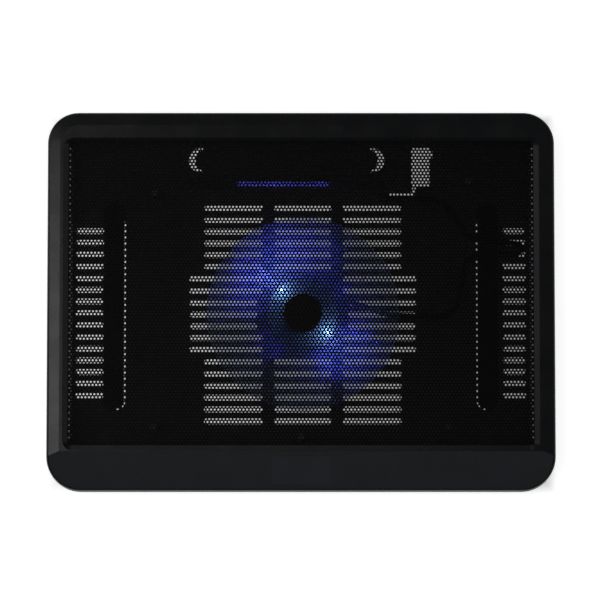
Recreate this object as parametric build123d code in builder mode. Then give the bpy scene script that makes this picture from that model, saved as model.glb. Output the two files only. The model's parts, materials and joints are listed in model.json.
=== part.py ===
from build123d import *
from math import atan2, cos, degrees, radians, sin, tan
import os

# Slim laptop cooling pad: a black two-part shell with a perforated steel top, one wide clear fan lit
# by two LEDs, two long rubber runners and a fold-out rear foot. Millimetres. The origin is on the
# table below the middle of the footprint, +X to the user's right, +Y to the rear, +Z up.

# Driving dimensions of the shell
width, depth, height = 340.0, 254.0, 25.0
rear_corner, front_corner = 21.5, 23.0
floor_bottom, floor_top = 3.0, 5.0
parting_z = 13.0  # where the top frame meets the tray
wall = 2.4
frame_inset, frame_wall = 0.8, 2.2  # the frame stands this far inside the tray's rim
plate = 2.4  # thickness of the frame's top
tower_r, tower_lap, thread_deep = 3.0, 0.5, 5.0  # screw towers under the frame
crease_y, front_z = -99.6, 19.0  # the apron slopes down from the crease to the front edge
crease_round, edge_round = 3.0, 2.0
slope_w, slope_drop = 8.5, 0.8  # the frame's top slopes down outwards all round

# Window and perforated panel
window_w, window_front, window_rear = 310.4, -95.8, 107.3
window_round = 3.5
bevel_w, bevel_rear_w, bevel_h = 3.4, 2.0, 1.8  # the bevel round the window is narrower at the rear
panel_t, panel_lap, panel_round = 0.8, 3.4, 3.0
panel_top = height - plate
stake_r, stake_head_r, stake_head_h, stake_out = 1.0, 1.6, 0.6, 2.0
rail_inner_x, rail_outer_x, rail_drop, rail_l = 153.9, 156.5, 1.0, 194.0
rail_flange_w, flange_h = 2.6, 1.4
post_r, post_flange_r = 2.2, 3.6

# Fan and grille
fan_x, fan_y = 1.2, -8.0
slot_pitch, slot_w = 8.0, 4.0
slot_reach_middle, slot_reach_ends = 76.6, 66.5
vent_rows, vent_first_y, vent_pitch = 15, 48.3, 7.93
vent_spans = ((-151.9, -133.0), (135.9, 151.7))
seat_r, seat_top = 30.0, 8.3
hub_r, hub_top, hub_skirt_z = 24.5, 20.0, 11.4
blade_tip_r, blade_count = 64.5, 7
cup_r = 12.8
led_r, led_angles = 21.3, (132.0, 322.0)
blade_sections = [  # radius, sweep angle, chord, pitch angle, middle height
    (22.0, 0.0, 23.5, 26.0, 15.2),
    (44.0, 5.0, 44.8, 13.0, 14.6),
    (70.0, 13.0, 70.0, 8.2, 14.3),
]
blade_t, blade_camber, blade_edge_t = 1.3, 0.07, 0.5

# Fold-out foot in its stadium opening
bay_x, bay_y, bay_l, bay_w = -9.7, 96.0, 132.0, 17.0
foot_l, foot_w, foot_z, foot_t = 122.8, 15.2, 3.4, 5.0
hinge_y = bay_y + foot_w / 2 - foot_t / 2
hinge_z, pin_r, pin_l, pin_gap = foot_z + foot_t / 2, 1.25, 18.0, 0.05
lug_offset, lug_w = 30.0, 5.0
lug_arm_l, lug_arm_h, lug_arm_up = 4.6, 2.1, 1.45
lug_slot_w, lug_slot_d, lug_slot_back = lug_w + 0.8, 9.6, 1.0  # notches in the foot for the lugs
pad_l, pad_w, pad_deep, pad_proud = 96.0, 2.6, 1.5, 0.25
groove_l, groove_w, groove_deep, groove_y = 46.0, 4.4, 1.0, 4.6
bracket_l, bracket_w, bracket_round, bracket_gap = 138.8, 23.0, 2.9, 0.15
collar_t, collar_h = 1.6, 5.5
lip_l, lip_w, lip_in, lip_t = 113.0, 2.8, 0.6, 1.5  # lips over the gaps before and behind the foot
lug_lip_w, lug_lip_d, lug_lip_front = lug_w + 3.0, 9.6, 0.3  # wider lips over the notches
foot_headroom = 0.3
flange_l, flange_w, flange_t, flange_round = 150.0, 26.0, 1.2, 4.0
bracket_peg_r, peg_head_r, peg_head_h = 1.2, 1.9, 0.6
bracket_peg_places = [(bay_x + sx * 72.2, bay_y + sy * 8.0) for sx in (-1, 1) for sy in (-1, 1)]

# Runners
runner_x, runner_y, runner_open_l, runner_open_w = 124.75, -3.4, 138.0, 13.3
runner_l, runner_w = 137.0, 11.8
runner_left_out, runner_right_out = 0.55, 0.40  # how far each one lies outwards in its opening
runner_back = 0.25  # the runners sit this far behind the middle of their openings
lip_cut_in, lip_cut_w, lip_cut_back = 4.4, 9.4, 9.0  # the inner edges have a lip at the rear end only
grip_l, grip_w, grip_above, grip_below = 3.6, 3.0, 1.0, 0.9

# Parking slot for the plug, and the cable gland beside it
park_x, park_y, park_w, park_l = 80.65, 91.4, 12.5, 26.6
sleeve_t, sleeve_h = 1.4, 4.0
notch_x, notch_y, notch_w, notch_l = park_x + park_w / 2 + 0.9, 100.0, 2.4, 5.2
gland_x, gland_y, gland_r, gland_h = 55.5, 70.4, 3.4, 4.0
throat_r, socket_r, socket_deep = 2.4, 1.6, 4.8
collar_r, collar_low = 3.1, 0.8
tail_x, tail_y, tail_w, tail_round = 76.2, 73.2, 2.6, 3.0
tail_rear, tail_left = 80.0, 60.0
ridge_front, ridge_crest, ridge_rear, ridge_top = 76.3, 81.3, 82.8, 10.0

# Internal lead, a flat twin wire
lead_z, wire_r, wire_gap = 7.25, 0.95, 0.85
lead_points = [
    (gland_x, gland_y), (96.0, 68.6), (113.0, 43.4), (147.0, 39.4), (148.4, 32.5),
    (112.0, 32.5), (103.0, -10.2), (60.5, -9.0), (24.2, 3.3),
]
lead_radii = [12.0, 14.0, 3.4, 3.2, 14.0, 14.0, 16.0]
lead_saddles = [  # where the lead lies between two pegs: x, y and the direction of the lead
    (80.0, 69.3, -2.5), (104.5, 56.0, -56.0), (107.4, 10.8, 78.1), (88.0, -9.8, -1.6),
]
hairpin_peg = (140.5, 36.1)
channel_l, channel_w = 26.0, 7.0
lead_peg_r, lead_peg_h, saddle_l = 1.1, 4.0, 3.0
connector_l, connector_w, connector_h, connector_gap = 4.4, 5.6, 3.4, 0.3

# Screws that close the case, from below
side_screws = [(s * 163.3, y) for s in (-1, 1) for y in (85.0, 0.0, -72.0)]
end_screws = [(x, y) for y in (117.5, -113.0) for x in (-110.0, 0.0, 110.0)]
case_screw_places = side_screws + end_screws
screw_r, head_r, head_h = 1.25, 2.5, 1.8
screw_top = parting_z + 4.6
head_seat_z, boss_r, well_gap, hole_gap = 8.0, 3.7, 0.3, 0.25

motor_screw_r, motor_head_r, motor_head_h, motor_head_z = 1.0, 1.9, 1.5, floor_bottom + 0.4
motor_well_r, motor_well_deep, motor_hole_r, motor_screw_bite = 2.2, 2.0, 1.1, 0.8
motor_screw_places = [
    (fan_x + 15.0 * cos(radians(a)), fan_y + 15.0 * sin(radians(a))) for a in (90, 210, 330)
]
post_places = [(-98.0, 72.0), (112.0, 80.0), (-98.0, -84.0), (98.0, -84.0), (0.0, -90.0)]

apron_angle = atan2(height - front_z, crease_y + depth / 2)
badge_w, badge_d, badge_t, badge_y = 39.0, 19.4, 0.8, -112.4
badge_round, badge_gap = 1.0, 0.1

# Motor
base_r, base_t, tube_r, tube_top = 26.0, 1.2, 3.4, 16.6
sleeve_r, sleeve_bore_r, shaft_r, shaft_top = 2.5, 1.05, 1.0, 17.6
board_r, board_hole_r, board_t = 23.8, 3.6, 0.9
core_low, core_high, core_r, core_ring_t, pole_w, pole_l = 12.2, 16.0, 10.1, 1.5, 3.0, 18.0
core_gap_w, core_gap_deep, core_hub_r = 3.2, 3.4, 5.0
coil_r, coil_l, coil_w, coil_over, coil_round = 6.6, 2.9, 5.4, 0.9, 1.0
cup_low, cup_high, cup_t, cup_round = 11.8, 18.4, 0.8, 0.7
magnet_r, magnet_l, magnet_up = 10.6, 5.0, 0.2
lamp_r, lamp_h, lamp_round = 1.25, 2.2, 1.1
hub_wall, hub_round, cup_collar_t, blade_root = 1.5, 1.2, 1.2, 0.6
label_r, label_t = 12.7, 0.25

os.makedirs("parts", exist_ok=True)


def write(builder, name):
    """Labels a finished piece and writes it as its own STEP file."""
    builder.part.label = name
    export_step(builder.part, f"parts/{name}.step")


def footprint(z, inset=0.0):
    """The shell's rounded outline at height z, pulled in by inset."""
    with BuildSketch(Plane.XY.offset(z)) as outline:
        Rectangle(width - 2 * inset, depth - 2 * inset)
        fillet(outline.vertices().group_by(Axis.Y)[-1], rear_corner - inset)
        fillet(outline.vertices().group_by(Axis.Y)[0], front_corner - inset)
    return outline.sketch


def apron_z(y):
    """Height of the frame's top surface at y."""
    return height - max(0.0, crease_y - y) * tan(apron_angle)


def side_profile(drop):
    """Side view of the frame's top surface, lowered by drop, down to the parting line."""
    past = depth / 2 + 1
    with BuildSketch(Plane.YZ) as profile:
        with BuildLine():
            Polyline(
                (-past, parting_z),
                (past, parting_z),
                (past, height - drop),
                (crease_y, height - drop),
                (-past, apron_z(-past) - drop),
                close=True,
            )
        make_face()
        crease = profile.vertices().sort_by_distance((crease_y, height - drop, 0))[0]
        fillet(crease, crease_round)
    return profile.sketch


def cross_recess(size, z_low, deep, places):
    """Cuts a cross recess upwards into screw heads whose lower faces are at z_low."""
    with BuildSketch(Plane.XY.offset(z_low)) as recess:
        with Locations(*places):
            Rectangle(size, size / 4)
            Rectangle(size / 4, size)
    extrude(recess.sketch, amount=deep, mode=Mode.SUBTRACT)


# Top frame: rims, sloping apron, bevelled window and hollow underside
with BuildPart() as frame_hollow:
    extrude(footprint(parting_z, frame_inset + frame_wall), amount=height - parting_z)
    extrude(side_profile(plate), amount=width, both=True, mode=Mode.INTERSECT)

window_d = window_rear - window_front
window_y = (window_rear + window_front) / 2
bevel_outer_w, bevel_outer_d = window_w + 2 * bevel_w, window_d + bevel_w + bevel_rear_w
stake_places = [
    (s * (window_w / 2 + stake_out), window_y + y) for s in (-1, 1) for y in (-75, -25, 25, 75)
] + [
    (x, window_y + s * (window_d / 2 + stake_out)) for s in (-1, 1) for x in (-125, -62.5, 0, 62.5, 125)
]
badge_plane = Plane(
    origin=(0, badge_y, apron_z(badge_y)),
    x_dir=(1, 0, 0),
    z_dir=(0, -sin(apron_angle), cos(apron_angle)),
)

# The same block with its top sloping down outwards all round
with BuildPart() as frame_slope:
    extrude(footprint(parting_z, frame_inset), amount=height - slope_drop - parting_z)
    low_outline = footprint(height - slope_drop, frame_inset)
    high_outline = footprint(height, frame_inset + slope_w)
    loft([low_outline, high_outline], ruled=True)
    sides = frame_slope.faces().filter_by(lambda f: abs(f.normal_at().Z) < 0.05)
    high_edges = sides.edges().filter_by(lambda e: e.center().Z > height - 2)
    outline_edges = high_edges.filter_by(lambda e: e.bounding_box().size.Z < 0.1)
    fillet(outline_edges, edge_round)

with BuildPart() as top_frame:
    extrude(footprint(parting_z, frame_inset), amount=height - parting_z)
    extrude(side_profile(0), amount=width, both=True, mode=Mode.INTERSECT)
    upper = top_frame.faces().filter_by(lambda f: f.normal_at().Z > 0.5).edges()
    across = upper.filter_by(lambda e: abs(e.center().X) < 1 and abs(e.center().Y - crease_y) < 2)
    fillet(upper - across, edge_round)
    add(frame_slope.part, mode=Mode.INTERSECT)
    add(frame_hollow.part, mode=Mode.SUBTRACT)
    with BuildSketch(Plane.XY.offset(height)):
        with Locations((0, window_y + (bevel_rear_w - bevel_w) / 2)):
            RectangleRounded(bevel_outer_w, bevel_outer_d, window_round + bevel_w)
    with BuildSketch(Plane.XY.offset(height - bevel_h)):
        with Locations((0, window_y)):
            RectangleRounded(window_w, window_d, window_round)
    loft(ruled=True, mode=Mode.SUBTRACT)
    with BuildSketch(Plane.XY.offset(height)):
        with Locations((0, window_y)):
            RectangleRounded(window_w, window_d, window_round)
    extrude(amount=-plate, mode=Mode.SUBTRACT)
    with BuildSketch(badge_plane):
        RectangleRounded(badge_w + 2 * badge_gap, badge_d + 2 * badge_gap, badge_round + badge_gap)
    extrude(amount=-badge_t, mode=Mode.SUBTRACT)
    for x, y in case_screw_places:
        with BuildSketch(Plane.XY.offset(parting_z)):
            with Locations((x, y)):
                Circle(tower_r)
        extrude(amount=apron_z(y) - plate + tower_lap - parting_z)
    with BuildSketch(Plane.XY.offset(parting_z)):
        with Locations(*case_screw_places):
            Circle(screw_r + pin_gap)
    extrude(amount=thread_deep, mode=Mode.SUBTRACT)
    # Stakes through the panel's border, melted over below it
    with BuildSketch(Plane.XY.offset(panel_top)):
        with Locations(*stake_places):
            Circle(stake_r)
    extrude(amount=-panel_t - stake_head_h)
    with BuildSketch(Plane.XY.offset(panel_top - panel_t)):
        with Locations(*stake_places):
            Circle(stake_head_r)
    extrude(amount=-stake_head_h)
write(top_frame, "top_frame")

# Blank badge plate set in the apron
with BuildPart() as front_badge:
    with BuildSketch(badge_plane):
        RectangleRounded(badge_w, badge_d, badge_round)
    extrude(amount=-badge_t)
write(front_badge, "front_badge")

# Steel panel. Its thousands of small holes are left out of this solid.
panel_w, panel_d = window_w + 2 * panel_lap, window_d + 2 * panel_lap
with BuildPart() as mesh_panel:
    with BuildSketch(Plane.XY.offset(panel_top - panel_t)):
        with Locations((0, window_y)):
            RectangleRounded(panel_w, panel_d, panel_round)
        with Locations(*stake_places):
            Circle(stake_r, mode=Mode.SUBTRACT)
    extrude(amount=panel_t)
write(mesh_panel, "mesh_panel")

# Bottom tray: tub with the fan grille, side vents, motor seat, foot bay, parking slot and bosses
bar_half, bar_x = 3.7, 23.2  # the grille's two unslotted bars
grille_slots = []  # (x, y, length)
for row in range(-9, 10):
    y = fan_y + slot_pitch * row
    outer_end = slot_reach_middle if abs(row) <= 3 else slot_reach_ends
    inner_end = seat_r + 0.5 if abs(row) <= 1 else bar_x + bar_half
    for side in (-1, 1):
        middle = fan_x + side * (inner_end + outer_end) / 2
        grille_slots.append((middle, y, outer_end - inner_end))
    if abs(row) >= 4:
        grille_slots.append((fan_x, y, 2 * (bar_x - bar_half)))
for row in range(vent_rows):
    for left, right in vent_spans:
        grille_slots.append(((left + right) / 2, vent_first_y - vent_pitch * row, right - left))

lead_end_x, lead_end_y = lead_points[-1]
lead_turn = degrees(atan2(lead_end_y - lead_points[-2][1], lead_end_x - lead_points[-2][0]))

with BuildPart() as bottom_tray:
    extrude(footprint(floor_bottom), amount=parting_z - floor_bottom)
    fillet(bottom_tray.faces().sort_by(Axis.Z)[0].edges(), 3.0)
    fillet(bottom_tray.faces().sort_by(Axis.Z)[-1].edges(), 0.5)
    extrude(footprint(floor_top, wall), amount=parting_z - floor_top, mode=Mode.SUBTRACT)
    # Motor seat, raised, with the lead's channel left open below
    with BuildSketch(Plane.XY.offset(floor_top)):
        with Locations((fan_x, fan_y)):
            Circle(seat_r)
    extrude(amount=seat_top - floor_top)
    with BuildSketch(Plane.XY.offset(floor_top)):
        with Locations(Location((lead_end_x, lead_end_y), lead_turn)):
            with Locations((1.0, 0)):
                Rectangle(channel_l, channel_w)
    extrude(amount=seat_top - floor_top, mode=Mode.SUBTRACT)
    # Sleeve round the parking slot
    with BuildSketch(Plane.XY.offset(floor_top)):
        with Locations((park_x, park_y)):
            Rectangle(park_w + 2 * sleeve_t, park_l + 2 * sleeve_t)
    extrude(amount=sleeve_h)
    # Sloped ridge that stiffens the floor in front of the bay
    with BuildSketch(Plane.YZ.offset(bay_x - bay_l / 2)):
        with BuildLine():
            Polyline(
                (ridge_front, floor_top),
                (ridge_crest, ridge_top),
                (ridge_rear, ridge_top),
                (ridge_rear, floor_top),
                close=True,
            )
        make_face()
    extrude(amount=bay_l)
    # Bosses for the case screws, and saddles and pegs that guide the lead
    with BuildSketch(Plane.XY.offset(floor_top)):
        with Locations(*case_screw_places):
            Circle(boss_r)
    extrude(amount=parting_z - floor_top)
    peg_y = 2 * wire_r + wire_gap + 0.2
    for x, y, turn in lead_saddles:
        with BuildSketch(Plane.XY.offset(floor_top)) as saddle:
            with Locations(Location((x, y), turn)):
                Rectangle(saddle_l, 2 * peg_y)
        extrude(amount=lead_z - wire_r - floor_top)
        with BuildSketch(Plane.XY.offset(floor_top)) as pegs:
            with Locations(Location((x, y), turn)):
                with Locations((0, -peg_y), (0, peg_y)):
                    Circle(lead_peg_r)
        extrude(amount=lead_peg_h)
    with BuildSketch(Plane.XY.offset(floor_top)):
        with Locations(hairpin_peg):
            Circle(lead_peg_r)
    extrude(amount=lead_peg_h)
    # Openings through the floor
    with BuildSketch(Plane.XY.offset(floor_bottom - 1)):
        for x, y, long in grille_slots:
            with Locations((x, y)):
                SlotOverall(long, slot_w)
        with Locations((-runner_x, runner_y), (runner_x, runner_y)):
            SlotOverall(runner_open_l, runner_open_w, rotation=90)
        with Locations((bay_x, bay_y)):
            RectangleRounded(bracket_l + 2 * bracket_gap, bracket_w + 2 * bracket_gap, 3.0)
        with Locations((park_x, park_y)):
            Rectangle(park_w, park_l)
        with Locations((notch_x, notch_y)):
            Rectangle(notch_w, notch_l)
        with BuildLine():
            FilletPolyline((tail_x, tail_rear), (tail_x, tail_y), (tail_left, tail_y), radius=tail_round)
        trace(line_width=tail_w)
        with Locations((gland_x, gland_y)):
            Circle(throat_r)
    extrude(amount=parting_z, mode=Mode.SUBTRACT)
    # Pegs through the bracket's flange, melted over above it
    with BuildSketch(Plane.XY.offset(floor_top)):
        with Locations(*bracket_peg_places):
            Circle(bracket_peg_r)
    extrude(amount=flange_t)
    with BuildSketch(Plane.XY.offset(floor_top + flange_t)):
        with Locations(*bracket_peg_places):
            Circle(peg_head_r)
    extrude(amount=peg_head_h)
    # Screw holes with sunk heads
    with BuildSketch(Plane.XY.offset(floor_bottom)):
        with Locations(*case_screw_places):
            Circle(head_r + well_gap)
    extrude(amount=head_seat_z - floor_bottom, mode=Mode.SUBTRACT)
    with BuildSketch(Plane.XY.offset(floor_bottom)):
        with Locations(*case_screw_places):
            Circle(screw_r + hole_gap)
    extrude(amount=parting_z - floor_bottom, mode=Mode.SUBTRACT)
    with BuildSketch(Plane.XY.offset(floor_bottom)):
        with Locations(*motor_screw_places):
            Circle(motor_well_r)
    extrude(amount=motor_well_deep, mode=Mode.SUBTRACT)
    with BuildSketch(Plane.XY.offset(floor_bottom)):
        with Locations(*motor_screw_places):
            Circle(motor_hole_r)
    extrude(amount=seat_top - floor_bottom, mode=Mode.SUBTRACT)
write(bottom_tray, "bottom_tray")

# Bracket set in the tray's floor: the foot's stadium bay, its hinge lugs and the lips over its gaps
with BuildPart() as foot_bracket:
    with BuildSketch(Plane.XY.offset(floor_bottom)):
        with Locations((bay_x, bay_y)):
            RectangleRounded(bracket_l, bracket_w, bracket_round)
    extrude(amount=floor_top - floor_bottom)
    with BuildSketch(Plane.XY.offset(floor_top)):
        with Locations((bay_x, bay_y)):
            RectangleRounded(flange_l, flange_w, flange_round)
    extrude(amount=flange_t)
    with BuildSketch(Plane.XY.offset(floor_top)):
        with Locations((bay_x, bay_y)):
            SlotOverall(bay_l + 2 * collar_t, bay_w + 2 * collar_t)
    extrude(amount=collar_h)
    with BuildSketch(Plane.XY.offset(floor_bottom)):
        with Locations((bay_x, bay_y)):
            SlotOverall(bay_l, bay_w)
        with Locations(*bracket_peg_places):
            Circle(bracket_peg_r)
    extrude(amount=parting_z, mode=Mode.SUBTRACT)
    with BuildSketch(Plane.XY.offset(foot_z + foot_t + foot_headroom)):
        with Locations(*[(bay_x, bay_y + s * (bay_w / 2 - lip_in)) for s in (-1, 1)]):
            Rectangle(lip_l, lip_w)
        with Locations(*[(bay_x + s * lug_offset, hinge_y - lug_lip_front) for s in (-1, 1)]):
            Rectangle(lug_lip_w, lug_lip_d)
    extrude(amount=lip_t)
    with BuildSketch(Plane.YZ.offset(bay_x)) as lug_side:
        with Locations((hinge_y, hinge_z)):
            Circle(foot_t / 2)
        with Locations((hinge_y + lug_arm_l / 2, hinge_z + lug_arm_up)):
            Rectangle(lug_arm_l, lug_arm_h)
        with Locations((hinge_y, hinge_z)):
            Circle(pin_r + pin_gap, mode=Mode.SUBTRACT)
    for side in (-1, 1):
        extrude(lug_side.sketch.moved(Location((side * lug_offset, 0, 0))), amount=lug_w / 2, both=True)
write(foot_bracket, "foot_bracket")

# Rails along both sides, which carry the panel's edges. Their tops slope down outwards.
with BuildPart() as side_rails:
    for side in (-1, 1):
        with BuildSketch(Plane.XZ.offset(-window_y)):
            with BuildLine():
                Polyline(
                    (side * rail_inner_x, floor_top),
                    (side * rail_inner_x, panel_top - panel_t),
                    (side * rail_outer_x, panel_top - panel_t - rail_drop),
                    (side * rail_outer_x, floor_top + flange_h),
                    (side * (rail_outer_x + rail_flange_w), floor_top + flange_h),
                    (side * (rail_outer_x + rail_flange_w), floor_top),
                    close=True,
                )
            make_face()
        extrude(amount=rail_l / 2, both=True)
write(side_rails, "side_rails")

# Posts under the panel
with BuildPart() as panel_posts:
    with BuildSketch(Plane.XY.offset(floor_top)):
        with Locations(*post_places):
            Circle(post_flange_r)
    extrude(amount=flange_h)
    with BuildSketch(Plane.XY.offset(floor_top + flange_h)):
        with Locations(*post_places):
            Circle(post_r)
    extrude(amount=panel_top - panel_t - floor_top - flange_h)
write(panel_posts, "panel_posts")

# Case screws
with BuildPart() as case_screws:
    with BuildSketch(Plane.XY.offset(head_seat_z - head_h)):
        with Locations(*case_screw_places):
            Circle(head_r)
    extrude(amount=head_h)
    fillet(case_screws.edges().filter_by(GeomType.CIRCLE).group_by(Axis.Z)[0], 0.6)
    with BuildSketch(Plane.XY.offset(head_seat_z)):
        with Locations(*case_screw_places):
            Circle(screw_r)
    extrude(amount=screw_top - head_seat_z)
    cross_recess(2.6, head_seat_z - head_h, 1.1, case_screw_places)
write(case_screws, "case_screws")

# Rubber runners: each strip grips the outer edge and ends of its opening with a lip
for name, side, outwards in (("runner_left", -1, runner_left_out), ("runner_right", 1, runner_right_out)):
    with BuildPart() as runner:
        with BuildSketch(Plane.XY):
            with Locations((side * (runner_x + outwards), runner_y + runner_back)):
                SlotOverall(runner_l, runner_w, rotation=90)
        extrude(amount=floor_top)
        fillet(runner.faces().sort_by(Axis.Z)[0].edges(), 0.8)
        for z_low, z_high in ((floor_top, floor_top + grip_above), (floor_bottom - grip_below, floor_bottom)):
            with BuildSketch(Plane.XY.offset(z_low)):
                with Locations((side * (runner_x + outwards), runner_y + runner_back)):
                    SlotOverall(runner_l + grip_l, runner_w + grip_w, rotation=90)
                with Locations((side * (runner_x - lip_cut_in), runner_y - lip_cut_back)):
                    Rectangle(lip_cut_w, runner_l, mode=Mode.SUBTRACT)
                with Locations((side * (runner_x + outwards), runner_y + runner_back)):
                    SlotOverall(runner_l, runner_w, rotation=90)
            extrude(amount=z_high - z_low)
    write(runner, name)

# Fold-out rear foot with a rubber strip along its free edge. Its rear edge is round about the hinge.
foot_front = bay_y - foot_w / 2
with BuildPart() as rear_foot:
    with BuildSketch(Plane.YZ.offset(bay_x)):
        with Locations(((foot_front + hinge_y) / 2, hinge_z)):
            body = Rectangle(hinge_y - foot_front, foot_t)
        fillet(body.vertices().group_by(Axis.X)[0], 0.8)
        with Locations((hinge_y, hinge_z)):
            Circle(foot_t / 2)
    extrude(amount=foot_l, both=True)
    with BuildSketch(Plane.XY.offset(foot_z)):
        with Locations((bay_x, bay_y)):
            SlotOverall(foot_l, foot_w)
    extrude(amount=foot_t, mode=Mode.INTERSECT)
    with BuildSketch(Plane.XY.offset(foot_z)):
        with Locations(*[(bay_x + s * lug_offset, hinge_y + lug_slot_back) for s in (-1, 1)]):
            Rectangle(lug_slot_w, lug_slot_d)
    extrude(amount=foot_t, mode=Mode.SUBTRACT)
    for side in (-1, 1):
        with BuildSketch(Plane.YZ.offset(bay_x + side * lug_offset)):
            with Locations((hinge_y, hinge_z)):
                Circle(pin_r)
        extrude(amount=pin_l / 2, both=True, mode=Mode.SUBTRACT)
    with BuildSketch(Plane.XZ.offset(-foot_front)):
        with Locations((bay_x, foot_z + foot_t / 2)):
            SlotOverall(pad_l, pad_w)
    extrude(amount=-pad_deep, mode=Mode.SUBTRACT)
    # Shallow groove on the underside for a fingertip
    with BuildSketch(Plane.XY.offset(foot_z)):
        with Locations((bay_x, foot_front + groove_y)):
            SlotOverall(groove_l, groove_w)
    extrude(amount=groove_deep, mode=Mode.SUBTRACT)
write(rear_foot, "rear_foot")

with BuildPart() as foot_pad:
    with BuildSketch(Plane.XZ.offset(-foot_front)):
        with Locations((bay_x, foot_z + foot_t / 2)):
            SlotOverall(pad_l, pad_w)
    extrude(amount=-pad_deep)
    extrude(foot_pad.faces().sort_by(Axis.Y)[0], amount=pad_proud)
write(foot_pad, "rear_foot_pad")

with BuildPart() as hinge_pins:
    for side in (-1, 1):
        with BuildSketch(Plane.YZ.offset(bay_x + side * lug_offset)):
            with Locations((hinge_y, hinge_z)):
                Circle(pin_r)
        extrude(amount=pin_l / 2, both=True)
write(hinge_pins, "foot_hinge_pins")

# Motor base with its bearing tube
base_top = seat_top + base_t
with BuildPart() as motor_base:
    with BuildSketch(Plane.XY.offset(seat_top)):
        with Locations((fan_x, fan_y)):
            Circle(base_r)
    extrude(amount=base_top - seat_top)
    with BuildSketch(Plane.XY.offset(base_top)):
        with Locations((fan_x, fan_y)):
            Circle(tube_r)
    extrude(amount=tube_top - base_top)
    with BuildSketch(Plane.XY.offset(base_top)):
        with Locations((fan_x, fan_y)):
            Circle(sleeve_r)
    extrude(amount=tube_top - base_top, mode=Mode.SUBTRACT)
    with BuildSketch(Plane.XY.offset(seat_top)):
        with Locations(*motor_screw_places):
            Circle(motor_screw_r)
    extrude(amount=motor_screw_bite, mode=Mode.SUBTRACT)
    with BuildSketch(Plane.XY.offset(seat_top)):
        with Locations(Location((lead_end_x, lead_end_y), lead_turn)):
            with Locations((0.4, 0)):
                Rectangle(2 * connector_l + 1.2, connector_w + 2 * connector_gap)
    extrude(amount=base_top - seat_top, mode=Mode.SUBTRACT)
write(motor_base, "motor_base")

# Connector on the board's underside, where the lead ends
with BuildPart() as lead_connector:
    with BuildSketch(Plane.XY.offset(base_top)):
        with Locations(Location((lead_end_x, lead_end_y), lead_turn)):
            with Locations((connector_l / 2, 0)):
                Rectangle(connector_l, connector_w)
    extrude(amount=-connector_h)
write(lead_connector, "lead_connector")

with BuildPart() as motor_screws:
    with BuildSketch(Plane.XY.offset(motor_head_z)):
        with Locations(*motor_screw_places):
            Circle(motor_head_r)
    extrude(amount=motor_head_h)
    with BuildSketch(Plane.XY.offset(motor_head_z + motor_head_h)):
        with Locations(*motor_screw_places):
            Circle(motor_screw_r)
    extrude(amount=seat_top + motor_screw_bite - motor_head_z - motor_head_h)
    cross_recess(2.2, motor_head_z, 0.8, motor_screw_places)
write(motor_screws, "motor_screws")

# Bearing sleeve and shaft
with BuildPart() as bearing_sleeve:
    with BuildSketch(Plane.XY.offset(base_top + 1.0)):
        with Locations((fan_x, fan_y)):
            Circle(sleeve_r)
            Circle(sleeve_bore_r, mode=Mode.SUBTRACT)
    extrude(amount=tube_top - 0.2 - base_top - 1.0)
write(bearing_sleeve, "bearing_sleeve")

with BuildPart() as motor_shaft:
    with BuildSketch(Plane.XY.offset(base_top + 0.3)):
        with Locations((fan_x, fan_y)):
            Circle(shaft_r)
    extrude(amount=shaft_top - base_top - 0.3)
write(motor_shaft, "motor_shaft")

# Motor board with its two LEDs
board_top = base_top + board_t
with BuildPart() as motor_board:
    with BuildSketch(Plane.XY.offset(base_top)):
        with Locations((fan_x, fan_y)):
            Circle(board_r)
            Circle(board_hole_r, mode=Mode.SUBTRACT)
    extrude(amount=board_top - base_top)
write(motor_board, "motor_board")

led_places = [
    (fan_x + led_r * cos(radians(a)), fan_y + led_r * sin(radians(a))) for a in led_angles
]
with BuildPart() as leds:
    with BuildSketch(Plane.XY.offset(board_top)):
        with Locations(*led_places):
            Circle(lamp_r)
    extrude(amount=lamp_h)
    fillet(leds.edges().filter_by(GeomType.CIRCLE).group_by(Axis.Z)[-1], lamp_round)
write(leds, "led_lamps")

# Stator: four-pole core and its windings
with BuildPart() as stator_core:
    with BuildSketch(Plane.XY.offset(core_low)):
        with Locations((fan_x, fan_y)):
            Circle(core_r)
            Circle(core_r - core_ring_t, mode=Mode.SUBTRACT)
        with Locations((fan_x, fan_y)):
            with PolarLocations(core_r, 4, start_angle=45):
                Rectangle(core_gap_w, core_gap_deep, mode=Mode.SUBTRACT)
            Rectangle(pole_l, pole_w)
            Rectangle(pole_w, pole_l)
            Circle(core_hub_r)
            Circle(tube_r, mode=Mode.SUBTRACT)
    extrude(amount=core_high - core_low)
write(stator_core, "stator_core")

with BuildPart() as stator_coils:
    with BuildSketch(Plane.XY.offset(core_low - coil_over)):
        with Locations((fan_x, fan_y)):
            with PolarLocations(coil_r, 4):
                RectangleRounded(coil_l, coil_w, coil_round)
    extrude(amount=core_high - core_low + 2 * coil_over)
    with BuildSketch(Plane.XY.offset(core_low)):
        with Locations((fan_x, fan_y)):
            Rectangle(pole_l, pole_w)
            Rectangle(pole_w, pole_l)
    extrude(amount=core_high - core_low, mode=Mode.SUBTRACT)
write(stator_coils, "stator_coils")

# Rotor: steel cup and magnet ring
with BuildPart() as rotor_cup:
    with BuildSketch(Plane.XY.offset(cup_low)):
        with Locations((fan_x, fan_y)):
            Circle(cup_r)
    extrude(amount=cup_high - cup_low)
    fillet(rotor_cup.faces().sort_by(Axis.Z)[-1].edges(), cup_round)
    with BuildSketch(Plane.XY.offset(cup_low)):
        with Locations((fan_x, fan_y)):
            Circle(cup_r - cup_t)
    extrude(amount=cup_high - cup_low - cup_t, mode=Mode.SUBTRACT)
write(rotor_cup, "rotor_cup")

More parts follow.
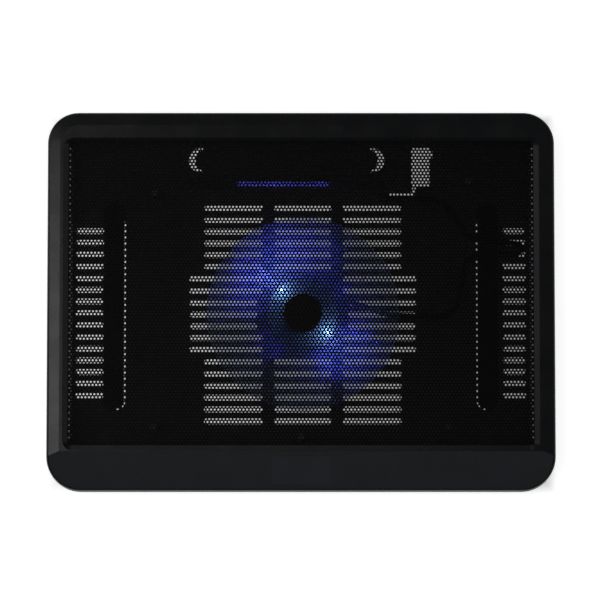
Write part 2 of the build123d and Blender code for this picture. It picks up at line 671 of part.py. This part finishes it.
with BuildPart() as rotor_magnet:
    with BuildSketch(Plane.XY.offset(cup_low + magnet_up)):
        with Locations((fan_x, fan_y)):
            Circle(cup_r - cup_t)
            Circle(magnet_r, mode=Mode.SUBTRACT)
    extrude(amount=magnet_l)
write(rotor_magnet, "rotor_magnet")


def blade_section(radius, sweep, chord, pitch, z):
    """A thin cambered section on the plane square to the radius at the sweep angle."""
    turn, tilt = radians(sweep), radians(pitch)
    out = Vector(cos(turn), sin(turn), 0)
    along = Vector(-sin(turn) * cos(tilt), cos(turn) * cos(tilt), sin(tilt))
    plane = Plane(origin=Vector(fan_x, fan_y, z) + out * radius, x_dir=along, z_dir=out)
    rise, edge = chord * blade_camber, blade_edge_t / 2
    with BuildSketch(plane) as section:
        with BuildLine():
            top = ThreePointArc((-chord / 2, edge), (0, rise + blade_t / 2), (chord / 2, edge))
            low = ThreePointArc((chord / 2, -edge), (0, rise - blade_t / 2), (-chord / 2, -edge))
            Line(top @ 1, low @ 0)
            Line(low @ 1, top @ 0)
        make_face()
    return section.sketch


# Impeller: hub with skirt and collar, and wide swept blades trimmed to a circle
with BuildPart() as one_blade:
    for section in blade_sections:
        add(blade_section(*section))
    loft()
    with BuildSketch(Plane.XY):
        with Locations((fan_x, fan_y)):
            Circle(blade_tip_r)
            Circle(hub_r - blade_root, mode=Mode.SUBTRACT)
    extrude(amount=height, mode=Mode.INTERSECT)

with BuildPart() as impeller:
    with BuildSketch(Plane.XY.offset(hub_skirt_z)):
        with Locations((fan_x, fan_y)):
            Circle(hub_r)
    extrude(amount=hub_top - hub_skirt_z)
    fillet(impeller.faces().sort_by(Axis.Z)[-1].edges(), hub_round)
    with BuildSketch(Plane.XY.offset(hub_skirt_z)):
        with Locations((fan_x, fan_y)):
            Circle(hub_r - hub_wall)
            Circle(cup_r + cup_collar_t, mode=Mode.SUBTRACT)
            Circle(cup_r)
    extrude(amount=cup_high - hub_skirt_z, mode=Mode.SUBTRACT)
    for i in range(blade_count):
        turn = Location((fan_x, fan_y, 0), (0, 0, 360 / blade_count * i))
        add(one_blade.part.moved(turn * Location((-fan_x, -fan_y, 0))))
write(impeller, "fan_impeller")

# Round label on the hub
with BuildPart() as hub_label:
    with BuildSketch(Plane.XY.offset(hub_top)):
        with Locations((fan_x, fan_y)):
            Circle(label_r)
    extrude(amount=label_t)
write(hub_label, "hub_label")

# Internal lead from the gland, in a loop over the right-hand vents, to the motor
with BuildPart() as fan_lead:
    with BuildLine() as route:
        FilletPolyline(*[(x, y, lead_z) for x, y in lead_points], radius=lead_radii)
    start = Plane(origin=route.line @ 0, x_dir=(0, 1, 0), z_dir=route.line % 0)
    with BuildSketch(start):
        with Locations((wire_gap, 0), (-wire_gap, 0)):
            Circle(wire_r)
    sweep(path=route.line)
write(fan_lead, "fan_lead")

# Gland where the cable leaves the tray, with its socket open below
with BuildPart() as cable_gland:
    with BuildSketch(Plane.XY.offset(floor_bottom - collar_low)):
        with Locations((gland_x, gland_y)):
            Circle(collar_r)
    extrude(amount=collar_low)
    with BuildSketch(Plane.XY.offset(floor_bottom)):
        with Locations((gland_x, gland_y)):
            Circle(throat_r)
    extrude(amount=floor_top - floor_bottom)
    with BuildSketch(Plane.XY.offset(floor_top)):
        with Locations((gland_x, gland_y)):
            Circle(gland_r)
    extrude(amount=gland_h)
    fillet(cable_gland.faces().sort_by(Axis.Z)[-1].edges(), 0.8)
    with BuildSketch(Plane.XY.offset(floor_bottom - collar_low)):
        with Locations((gland_x, gland_y)):
            Circle(socket_r)
    extrude(amount=socket_deep, mode=Mode.SUBTRACT)
    add(fan_lead.part, mode=Mode.SUBTRACT)
write(cable_gland, "cable_gland")
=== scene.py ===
import json
import math

import bpy
import numpy as np
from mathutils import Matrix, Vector


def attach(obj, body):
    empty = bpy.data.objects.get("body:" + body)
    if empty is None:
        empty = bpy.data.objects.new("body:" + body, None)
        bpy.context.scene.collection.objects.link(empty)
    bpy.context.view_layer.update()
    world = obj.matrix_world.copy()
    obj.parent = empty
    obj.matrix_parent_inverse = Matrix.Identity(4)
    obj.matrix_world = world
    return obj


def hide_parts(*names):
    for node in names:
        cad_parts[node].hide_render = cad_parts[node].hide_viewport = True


# Laptop cooling pad, seen from above on a pale floor: satin black shell, perforated steel top and a
# clear fan lit from inside by two blue LEDs. Metres, in the frame of the CAD model.

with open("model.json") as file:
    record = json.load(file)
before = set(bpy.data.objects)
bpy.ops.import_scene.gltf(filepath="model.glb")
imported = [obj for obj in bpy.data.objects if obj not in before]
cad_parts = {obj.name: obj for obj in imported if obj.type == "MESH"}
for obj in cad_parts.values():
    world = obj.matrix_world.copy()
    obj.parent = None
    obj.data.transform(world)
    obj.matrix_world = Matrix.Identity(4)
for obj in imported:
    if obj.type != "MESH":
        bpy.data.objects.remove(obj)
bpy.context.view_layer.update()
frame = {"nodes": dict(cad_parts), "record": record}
nodes = frame["nodes"]

FAN = (0.0012, -0.008)  # axis of the fan
LED_RADIUS, LED_ANGLES = 0.0213, (132.0, 322.0)

# Perforated panel
PANEL_W, PANEL_D, PANEL_TOP, PANEL_T = 0.3172, 0.2099, 0.0226, 0.0008
WINDOW_Y = 0.00575
HOLE_R, HOLE_PITCH, ROW_PITCH = 0.00070, 0.00239, 0.00205
HOLES_PER_ROW, HOLE_ROWS, PANEL_PIECES = 130, 99, 5
HOLE_SIDES = 12
SIDE_TURN = 360.0 / HOLE_SIDES

# Floor: it glows by itself, less in the object's shade
FLOOR_SIZE = 6.0
OPEN_GLOW = 0.75
SHADE_GLOW_LEFT, SHADE_GLOW_RIGHT = 0.50, 0.20
SHADE_X, SHADE_Y, SHADE_EDGE = 0.160, 0.117, 0.012

# Lights inside the tray
LED_POWER, LED_Z, LED_GLOW_RADIUS = 0.012, 0.0134, 0.0008
LED_COLOUR = (0.42, 0.52, 1.0)
DISK_Z = 0.0089
BLUE, PALE_BLUE = (0.10, 0.11, 1.0), (0.30, 0.42, 1.0)

# Camera
CAMERA_PLACE, CAMERA_AIM = (-0.00067, -0.07783, 1.523), (-0.00067, 0.00067, 0.025)
CAMERA_LENS, SENSOR_WIDTH = 135.3, 36.0


# ---------- materials ----------

def tree(name):
    """A new node material: its nodes, its links, its Principled shader and its object coordinates."""
    material = bpy.data.materials.new(name)
    material.use_nodes = True
    n, l = material.node_tree.nodes, material.node_tree.links
    shader = n["Principled BSDF"]
    place = n.new("ShaderNodeTexCoord").outputs["Object"]
    return material, n, l, shader, place


def noise(n, l, place, scale, detail=3.0, stretch=None):
    """Noise of the given scale, in waves per metre. stretch scales the coordinates first."""
    if stretch:
        mapping = n.new("ShaderNodeMapping")
        mapping.inputs["Scale"].default_value = stretch
        l.new(place, mapping.inputs["Vector"])
        place = mapping.outputs["Vector"]
    texture = n.new("ShaderNodeTexNoise")
    texture.inputs["Scale"].default_value = scale
    texture.inputs["Detail"].default_value = detail
    l.new(place, texture.inputs["Vector"])
    return texture.outputs["Fac"]


def ramp(n, l, value, low, high, start=0.3, end=0.7):
    """A colour that goes from low to high as value goes from start to end."""
    node = n.new("ShaderNodeValToRGB")
    node.color_ramp.elements[0].position = start
    node.color_ramp.elements[1].position = end
    node.color_ramp.elements[0].color = (*low, 1.0)
    node.color_ramp.elements[1].color = (*high, 1.0)
    l.new(value, node.inputs["Fac"])
    return node.outputs["Color"]


def spread(n, l, value, low, high):
    """value, which is mostly between 0.3 and 0.7, spread over low to high."""
    node = n.new("ShaderNodeMapRange")
    node.inputs["From Min"].default_value = 0.3
    node.inputs["From Max"].default_value = 0.7
    node.inputs["To Min"].default_value = low
    node.inputs["To Max"].default_value = high
    l.new(value, node.inputs["Value"])
    return node.outputs["Result"]


def bump(n, l, shader, height, strength, distance):
    """Adds a bump to the shader."""
    node = n.new("ShaderNodeBump")
    node.inputs["Strength"].default_value = strength
    node.inputs["Distance"].default_value = distance
    l.new(height, node.inputs["Height"])
    l.new(node.outputs["Normal"], shader.inputs["Normal"])


def finish_material(name, low, high, rough, grain, grain_depth, metallic=0.0, blotch=60.0,
                    stretch=None, specular=0.5, strength=0.5):
    """A surface whose colour drifts from low to high, with grain in its relief and its roughness."""
    material, n, l, shader, place = tree(name)
    drift = noise(n, l, place, blotch, 4.0, stretch)
    fine = noise(n, l, place, grain, 2.0, stretch)
    l.new(ramp(n, l, drift, low, high), shader.inputs["Base Color"])
    l.new(spread(n, l, drift, *rough), shader.inputs["Roughness"])
    shader.inputs["Metallic"].default_value = metallic
    shader.inputs["Specular IOR Level"].default_value = specular
    bump(n, l, shader, fine, strength, grain_depth)
    return material


def laminated_core():
    """Stacked steel sheets: thin dark lines across Z."""
    material, n, l, shader, place = tree("core_steel")
    bands = n.new("ShaderNodeTexWave")
    bands.bands_direction = "Z"
    bands.inputs["Scale"].default_value = 640.0
    l.new(place, bands.inputs["Vector"])
    colour = ramp(n, l, bands.outputs["Fac"], (0.12, 0.12, 0.13), (0.34, 0.34, 0.36))
    l.new(colour, shader.inputs["Base Color"])
    shader.inputs["Metallic"].default_value = 0.9
    l.new(spread(n, l, noise(n, l, place, 900.0), 0.35, 0.55), shader.inputs["Roughness"])
    bump(n, l, shader, bands.outputs["Fac"], 0.4, 0.0001)
    return material


def wound_copper():
    """Enamelled wire laid in turns."""
    material, n, l, shader, place = tree("coil_copper")
    turns = n.new("ShaderNodeTexWave")
    turns.bands_direction = "Z"
    turns.inputs["Scale"].default_value = 900.0
    turns.inputs["Distortion"].default_value = 0.6
    l.new(place, turns.inputs["Vector"])
    colour = ramp(n, l, turns.outputs["Fac"], (0.20, 0.06, 0.02), (0.62, 0.25, 0.09))
    l.new(colour, shader.inputs["Base Color"])
    shader.inputs["Metallic"].default_value = 0.8
    l.new(spread(n, l, noise(n, l, place, 1500.0), 0.25, 0.45), shader.inputs["Roughness"])
    bump(n, l, shader, turns.outputs["Fac"], 0.8, 0.0002)
    return material


def solder_mask():
    """Green board with paler tracks under the mask."""
    material, n, l, shader, place = tree("board_green")
    tracks = n.new("ShaderNodeTexVoronoi")
    tracks.feature = "DISTANCE_TO_EDGE"
    tracks.distance = "EUCLIDEAN"
    tracks.inputs["Scale"].default_value = 260.0
    l.new(place, tracks.inputs["Vector"])
    l.new(
        ramp(n, l, tracks.outputs["Distance"], (0.03, 0.20, 0.08), (0.012, 0.09, 0.035), 0.05, 0.12),
        shader.inputs["Base Color"],
    )
    l.new(spread(n, l, noise(n, l, place, 700.0), 0.25, 0.4), shader.inputs["Roughness"])
    bump(n, l, shader, tracks.outputs["Distance"], 0.3, 0.00008)
    return material


def lit_led():
    """Blue epoxy that glows, its colour and glow mottled by noise."""
    material, n, l, shader, place = tree("led_blue")
    cloud = noise(n, l, place, 900.0)
    l.new(ramp(n, l, cloud, (0.20, 0.42, 0.95), (0.45, 0.70, 1.0)), shader.inputs["Base Color"])
    l.new(ramp(n, l, cloud, (0.10, 0.35, 1.0), (0.35, 0.70, 1.0)), shader.inputs["Emission Color"])
    shader.inputs["Emission Strength"].default_value = 6.0
    l.new(spread(n, l, cloud, 0.15, 0.3), shader.inputs["Roughness"])
    bump(n, l, shader, noise(n, l, place, 2500.0), 0.15, 0.00004)
    return material


def clear_styrene():
    """Bluish clear plastic of the fan: see-through, glossy, and it takes up light from inside."""
    material, n, l, shader, place = tree("impeller_clear")
    cloud = noise(n, l, place, 45.0, 3.0)
    fine = noise(n, l, place, 800.0, 2.0)
    tint = ramp(n, l, cloud, (0.30, 0.36, 0.44), (0.42, 0.48, 0.56))
    l.new(tint, shader.inputs["Base Color"])
    l.new(spread(n, l, cloud, 0.10, 0.22), shader.inputs["Roughness"])
    bump(n, l, shader, fine, 0.15, 0.00006)
    glow = n.new("ShaderNodeBsdfTranslucent")
    l.new(ramp(n, l, cloud, (0.45, 0.55, 0.70), (0.55, 0.66, 0.82)), glow.inputs["Color"])
    through = n.new("ShaderNodeBsdfTransparent")
    through.inputs["Color"].default_value = (0.88, 0.90, 0.96, 1.0)
    inner = n.new("ShaderNodeMixShader")
    inner.inputs["Fac"].default_value = 0.35
    l.new(glow.outputs["BSDF"], inner.inputs[1])
    l.new(shader.outputs["BSDF"], inner.inputs[2])
    outer = n.new("ShaderNodeMixShader")
    outer.inputs["Fac"].default_value = 0.76
    l.new(inner.outputs["Shader"], outer.inputs[1])
    l.new(through.outputs["BSDF"], outer.inputs[2])
    l.new(outer.outputs["Shader"], n["Material Output"].inputs["Surface"])
    return material


MATERIALS = {
    "frame_black": finish_material(
        "frame_black", (0.0052, 0.0056, 0.0063), (0.0068, 0.0072, 0.0080), (0.23, 0.31),
        2600.0, 0.00004, strength=0.3),
    "badge_black": finish_material(
        "badge_black", (0.0042, 0.0042, 0.0046), (0.0060, 0.0060, 0.0064), (0.14, 0.22),
        1800.0, 0.00002, strength=0.2),
    "mesh_paint": finish_material(
        "mesh_paint", (0.0010, 0.0010, 0.0011), (0.0018, 0.0018, 0.0019), (0.50, 0.62),
        3200.0, 0.00005, specular=0.2),
    "tray_black": finish_material(
        "tray_black", (0.0300, 0.0304, 0.0320), (0.0420, 0.0424, 0.0440), (0.50, 0.66), 1900.0, 0.00014),
    "rail_grey": finish_material(
        "rail_grey", (0.30, 0.30, 0.31), (0.40, 0.40, 0.41), (0.80, 0.92), 2200.0, 0.00020, blotch=700.0),
    "screw_steel": finish_material(
        "screw_steel", (0.045, 0.045, 0.047), (0.085, 0.085, 0.088), (0.32, 0.48),
        2400.0, 0.00006, metallic=0.9),
    "runner_rubber": finish_material(
        "runner_rubber", (0.0075, 0.0075, 0.0078), (0.0120, 0.0120, 0.0122), (0.66, 0.82),
        1300.0, 0.00016, specular=0.35),
    "foot_black": finish_material(
        "foot_black", (0.0260, 0.0264, 0.0280), (0.0360, 0.0364, 0.0380), (0.48, 0.64), 1900.0, 0.00014),
    "pad_rubber": finish_material(
        "pad_rubber", (0.0085, 0.0085, 0.0087), (0.0125, 0.0125, 0.0127), (0.68, 0.84),
        1500.0, 0.00016, specular=0.35),
    "pin_steel": finish_material(
        "pin_steel", (0.36, 0.36, 0.37), (0.50, 0.50, 0.51), (0.24, 0.40), 260.0, 0.00004, metallic=1.0,
        stretch=(0.1, 4.0, 4.0)),
    "motor_base_black": finish_material(
        "motor_base_black", (0.008, 0.008, 0.009), (0.014, 0.014, 0.015), (0.45, 0.60), 2100.0, 0.00008),
    "motor_screw_steel": finish_material(
        "motor_screw_steel", (0.30, 0.30, 0.31), (0.44, 0.44, 0.45), (0.28, 0.42),
        2400.0, 0.00005, metallic=1.0),
    "bearing_bronze": finish_material(
        "bearing_bronze", (0.36, 0.22, 0.09), (0.52, 0.34, 0.15), (0.35, 0.55),
        3000.0, 0.00008, metallic=1.0),
    "shaft_steel": finish_material(
        "shaft_steel", (0.50, 0.50, 0.51), (0.66, 0.66, 0.67), (0.12, 0.22), 900.0, 0.00002, metallic=1.0,
        stretch=(1.0, 1.0, 0.05)),
    "board_green": solder_mask(),
    "connector_white": finish_material(
        "connector_white", (0.62, 0.60, 0.54), (0.74, 0.72, 0.66), (0.35, 0.50), 1500.0, 0.00006),
    "led_blue": lit_led(),
    "core_steel": laminated_core(),
    "coil_copper": wound_copper(),
    "cup_black": finish_material(
        "cup_black", (0.007, 0.007, 0.008), (0.012, 0.012, 0.013), (0.28, 0.42), 2200.0, 0.00006),
    "magnet_grey": finish_material(
        "magnet_grey", (0.050, 0.050, 0.054), (0.085, 0.085, 0.090), (0.50, 0.70), 1800.0, 0.00010),
    "impeller_clear": clear_styrene(),
    "label_black": finish_material(
        "label_black", (0.006, 0.006, 0.007), (0.010, 0.010, 0.011), (0.40, 0.55), 1200.0, 0.00004),
    "lead_black": finish_material(
        "lead_black", (0.008, 0.008, 0.009), (0.013, 0.013, 0.014), (0.38, 0.55), 1400.0, 0.00008),
    "gland_black": finish_material(
        "gland_black", (0.009, 0.009, 0.009), (0.014, 0.014, 0.014), (0.60, 0.78),
        1500.0, 0.00014, specular=0.35),
}

for part in frame["record"]["subparts"]:
    mesh = nodes[part["node"]].data
    mesh.materials.clear()
    mesh.materials.append(MATERIALS[part["material_slot"]])


# ---------- perforated panel ----------

def hole_cells(centres):
    """Triangles of a plate cell round each hole: a 12-sided hole in a brick of the pattern."""
    turn = np.radians(SIDE_TURN * np.arange(HOLE_SIDES))
    ring = np.stack([HOLE_R * np.cos(turn), HOLE_R * np.sin(turn)], 1)
    half_x, half_y = HOLE_PITCH / 2, ROW_PITCH / 2
    edge = np.array([
        (half_x, half_y), (0.0, half_y), (-half_x, half_y),
        (-half_x, -half_y), (0.0, -half_y), (half_x, -half_y),
    ])
    flat = np.concatenate([ring, edge])
    layer = len(flat)
    low = PANEL_TOP - PANEL_T
    cell = np.concatenate([
        np.column_stack([flat, np.full(layer, PANEL_TOP)]),
        np.column_stack([flat, np.full(layer, low)]),
    ])
    upper = []
    corners = len(edge)
    for k in range(HOLE_SIDES):
        upper.append((k, HOLE_SIDES + k // 2, (k + 1) % HOLE_SIDES))
    for j in range(corners):
        upper.append((HOLE_SIDES + j, HOLE_SIDES + (j + 1) % corners, (2 * j + 2) % HOLE_SIDES))
    upper = np.array(upper)
    lower = upper[:, ::-1] + layer
    wall = []
    for k in range(HOLE_SIDES):
        after = (k + 1) % HOLE_SIDES
        wall.append((k, after, after + layer))
        wall.append((k, after + layer, k + layer))
    triangles = np.concatenate([upper, lower, np.array(wall)])
    points = (centres[:, None, :] * (1, 1, 0) + cell[None]).reshape(-1, 3)
    faces = (triangles[None] + len(cell) * np.arange(len(centres))[:, None, None]).reshape(-1, 3)
    return points, faces


def slab(x0, x1, y0, y1):
    """A plain strip of the plate."""
    low = PANEL_TOP - PANEL_T
    corners = ((x0, y0), (x1, y0), (x1, y1), (x0, y1))
    points = np.array([(x, y, z) for z in (low, PANEL_TOP) for x, y in corners])
    faces = np.array([
        (0, 2, 1), (0, 3, 2), (4, 5, 6), (4, 6, 7), (0, 1, 5), (0, 5, 4),
        (1, 2, 6), (1, 6, 5), (2, 3, 7), (2, 7, 6), (3, 0, 4), (3, 4, 7),
    ])
    return points, faces


def make_mesh(name, shapes, material_slot):
    """One object from (points, triangles) shapes, with shared points merged."""
    points, faces, start = [], [], 0
    for p, f in shapes:
        points.append(p)
        faces.append(f + start)
        start += len(p)
    points = np.concatenate(points)
    faces = np.concatenate(faces)
    rounded = np.round(points * 1e7).astype(np.int64)
    _, keep, same = np.unique(rounded, axis=0, return_index=True, return_inverse=True)
    points, faces = points[keep], same.reshape(-1)[faces]
    mesh = bpy.data.meshes.new(name)
    mesh.from_pydata(points.tolist(), [], faces.tolist())
    mesh.materials.append(MATERIALS[material_slot])
    piece = bpy.data.objects.new(name, mesh)
    bpy.context.scene.collection.objects.link(piece)
    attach(piece, "base")
    return piece


half_span = HOLES_PER_ROW * HOLE_PITCH / 2
first_row = WINDOW_Y - (HOLE_ROWS - 1) * ROW_PITCH / 2
low_y, high_y = WINDOW_Y - PANEL_D / 2, WINDOW_Y + PANEL_D / 2
pattern_low, pattern_high = first_row - ROW_PITCH / 2, first_row + (HOLE_ROWS - 0.5) * ROW_PITCH
row_groups = np.array_split(np.arange(HOLE_ROWS), PANEL_PIECES)
for number, rows in enumerate(row_groups):
    centres, shapes = [], []
    for row in rows:
        y = first_row + row * ROW_PITCH
        count = HOLES_PER_ROW - row % 2
        x = (np.arange(count) - (count - 1) / 2) * HOLE_PITCH
        centres.append(np.column_stack([x, np.full(count, y), np.zeros(count)]))
        if row % 2:
            y0, y1 = y - ROW_PITCH / 2, y + ROW_PITCH / 2
            shapes.append(slab(-half_span, -half_span + HOLE_PITCH / 2, y0, y1))
            shapes.append(slab(half_span - HOLE_PITCH / 2, half_span, y0, y1))
    shapes.append(hole_cells(np.concatenate(centres)))
    y0 = first_row + (rows[0] - 0.5) * ROW_PITCH
    y1 = first_row + (rows[-1] + 0.5) * ROW_PITCH
    if number == 0:
        shapes.append(slab(-PANEL_W / 2, PANEL_W / 2, low_y, pattern_low))
    if number == PANEL_PIECES - 1:
        shapes.append(slab(-PANEL_W / 2, PANEL_W / 2, pattern_high, high_y))
    shapes.append(slab(-PANEL_W / 2, -half_span, y0, y1))
    shapes.append(slab(half_span, PANEL_W / 2, y0, y1))
    strip = make_mesh(f"mesh_panel_{number + 1}", shapes, "mesh_paint")
    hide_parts("mesh_panel")


# ---------- floor, lights and camera ----------

floor_mesh = bpy.data.meshes.new("floor")
half = FLOOR_SIZE / 2
floor_corners = [(-half, -half, 0), (half, -half, 0), (half, half, 0), (-half, half, 0)]
floor_mesh.from_pydata(floor_corners, [], [(0, 1, 2, 3)])
floor = bpy.data.objects.new("floor", floor_mesh)
bpy.context.scene.collection.objects.link(floor)
material, n, l, shader, place = tree("floor_pale")


def between(value, low, high, to_low, to_high):
    """value mapped from low-high to to_low-to_high, held at both ends."""
    node = n.new("ShaderNodeMapRange")
    sockets = ("From Min", "From Max", "To Min", "To Max")
    for socket, number in zip(sockets, (low, high, to_low, to_high)):
        node.inputs[socket].default_value = number
    l.new(value, node.inputs["Value"])
    return node.outputs["Result"]


def both(operation, a, b=None):
    """A Math node on one or two values."""
    node = n.new("ShaderNodeMath")
    node.operation = operation
    l.new(a, node.inputs[0])
    if b is not None:
        l.new(b, node.inputs[1])
    return node.outputs[0]


# The floor glows less in the object's shade, and least on its right
axes = n.new("ShaderNodeSeparateXYZ")
l.new(place, axes.inputs["Vector"])
out_x = between(both("ABSOLUTE", axes.outputs["X"]), SHADE_X, SHADE_X + SHADE_EDGE, 0.0, 1.0)
out_y = between(both("ABSOLUTE", axes.outputs["Y"]), SHADE_Y, SHADE_Y + SHADE_EDGE, 0.0, 1.0)
outside = both("MAXIMUM", out_x, out_y)
shade = between(axes.outputs["X"], -SHADE_X, SHADE_X, SHADE_GLOW_LEFT, SHADE_GLOW_RIGHT)
mix = n.new("ShaderNodeMix")
mix.inputs["B"].default_value = OPEN_GLOW
l.new(outside, mix.inputs["Factor"])
l.new(shade, mix.inputs["A"])
l.new(mix.outputs["Result"], shader.inputs["Emission Strength"])
pale = ramp(n, l, noise(n, l, place, 3.0), (0.84, 0.84, 0.84), (0.86, 0.86, 0.86))
l.new(pale, shader.inputs["Base Color"])
shader.inputs["Roughness"].default_value = 0.9
shader.inputs["Specular IOR Level"].default_value = 0.0
shader.inputs["Emission Color"].default_value = (1.0, 1.0, 1.0, 1.0)
floor_mesh.materials.append(material)


def area_light(name, place, target, size, radiance, colour=(1.0, 1.0, 1.0), glossy=True,
               spread=math.pi):
    """A soft light of the given radiance, size (x, y) and place, aimed at target."""
    data = bpy.data.lights.new(name, "AREA")
    data.shape = "RECTANGLE"
    data.size, data.size_y = size
    data.energy = radiance * math.pi * size[0] * size[1]
    data.color = colour
    data.spread = spread
    light = bpy.data.objects.new(name, data)
    light.location = place
    light.rotation_euler = (Vector(target) - Vector(place)).to_track_quat("-Z", "Y").to_euler()
    light.visible_camera = False
    light.visible_glossy = glossy
    bpy.context.scene.collection.objects.link(light)


def round_the_fan(radius, angle):
    """x and y of a point round the fan's axis."""
    turn = math.radians(angle)
    return FAN[0] + radius * math.cos(turn), FAN[1] + radius * math.sin(turn)


def blue_disk(name, radius, angle, size, radiance, colour):
    """A small round light low inside the tray, facing up."""
    x, y = round_the_fan(radius, angle)
    data = bpy.data.lights.new(name, "AREA")
    data.shape = "DISK"
    data.size = size
    data.energy = radiance * math.pi * math.pi * size * size / 4
    data.color = colour
    light = bpy.data.objects.new(name, data)
    light.location = (x, y, DISK_Z)
    light.rotation_euler = (math.pi, 0.0, 0.0)
    light.visible_camera = False
    light.visible_glossy = False
    bpy.context.scene.collection.objects.link(light)


area_light("top_soft", (0.0, 0.0, 3.0), (0.0, 0.0, 0.0), (3.4, 3.4), 0.75, glossy=False)
area_light("left_high", (-0.92, -0.08, 2.0), (-0.16, 0.0, 0.0), (0.72, 0.95), 2.0)
area_light("left_low", (-2.2, 0.6, 1.1), (0.0, 0.0, 0.0), (1.2, 1.6), 0.5)
area_light("rear_low", (-0.4, 2.2, 1.45), (0.0, 0.0, 0.0), (1.4, 0.6), 0.4)
area_light("front_high", (0.0, -1.15, 2.5), (0.0, 0.0, 0.0), (1.6, 0.8), 0.30, (0.90, 0.96, 1.12))
area_light("right_low", (2.2, 0.0, 1.1), (0.0, 0.0, 0.0), (1.2, 1.6), 0.30)

for number, angle in enumerate(LED_ANGLES):
    data = bpy.data.lights.new(f"led_{number}", "POINT")
    data.energy = LED_POWER
    data.color = LED_COLOUR
    data.shadow_soft_size = LED_GLOW_RADIUS
    lamp = bpy.data.objects.new(f"led_{number}", data)
    x, y = round_the_fan(LED_RADIUS, angle)
    lamp.location = (x, y, LED_Z)
    bpy.context.scene.collection.objects.link(lamp)

# Light that the blades take up: radius and angle round the fan, size and radiance
for number, (radius, angle, size, radiance) in enumerate([
    (0.040, 84.0, 0.036, 2.5), (0.040, 108.0, 0.040, 3.4), (0.040, 135.0, 0.040, 3.3),
    (0.038, 160.0, 0.034, 2.4), (0.034, 298.0, 0.026, 2.3), (0.038, 320.0, 0.036, 3.3),
    (0.036, 343.0, 0.026, 1.8), (0.028, 225.0, 0.020, 2.6), (0.028, 30.0, 0.018, 2.6),
]):
    blue_disk(f"blue_{number}", radius, angle, size, radiance, BLUE)
blue_disk("pale_0", 0.031, 131.0, 0.020, 5.0, PALE_BLUE)
blue_disk("pale_1", 0.029, 321.0, 0.014, 4.2, PALE_BLUE)
area_light(
    "ridge_blue", (-0.012, 0.0730, 0.0088), (-0.012, 0.0800, 0.0084), (0.060, 0.0016), 7.0, BLUE,
    spread=0.8)

world = bpy.data.worlds.new("studio")
world.use_nodes = True
background = world.node_tree.nodes["Background"]
background.inputs["Color"].default_value = (0.92, 0.95, 1.0, 1.0)
background.inputs["Strength"].default_value = 0.05
bpy.context.scene.world = world
bpy.context.scene.view_settings.view_transform = "Standard"

camera_data = bpy.data.cameras.new("camera")
camera_data.sensor_width = SENSOR_WIDTH
camera_data.lens = CAMERA_LENS
camera = bpy.data.objects.new("camera", camera_data)
camera.location = CAMERA_PLACE
camera.rotation_euler = (Vector(CAMERA_AIM) - camera.location).to_track_quat("-Z", "Y").to_euler()
bpy.context.scene.collection.objects.link(camera)
bpy.context.scene.camera = camera
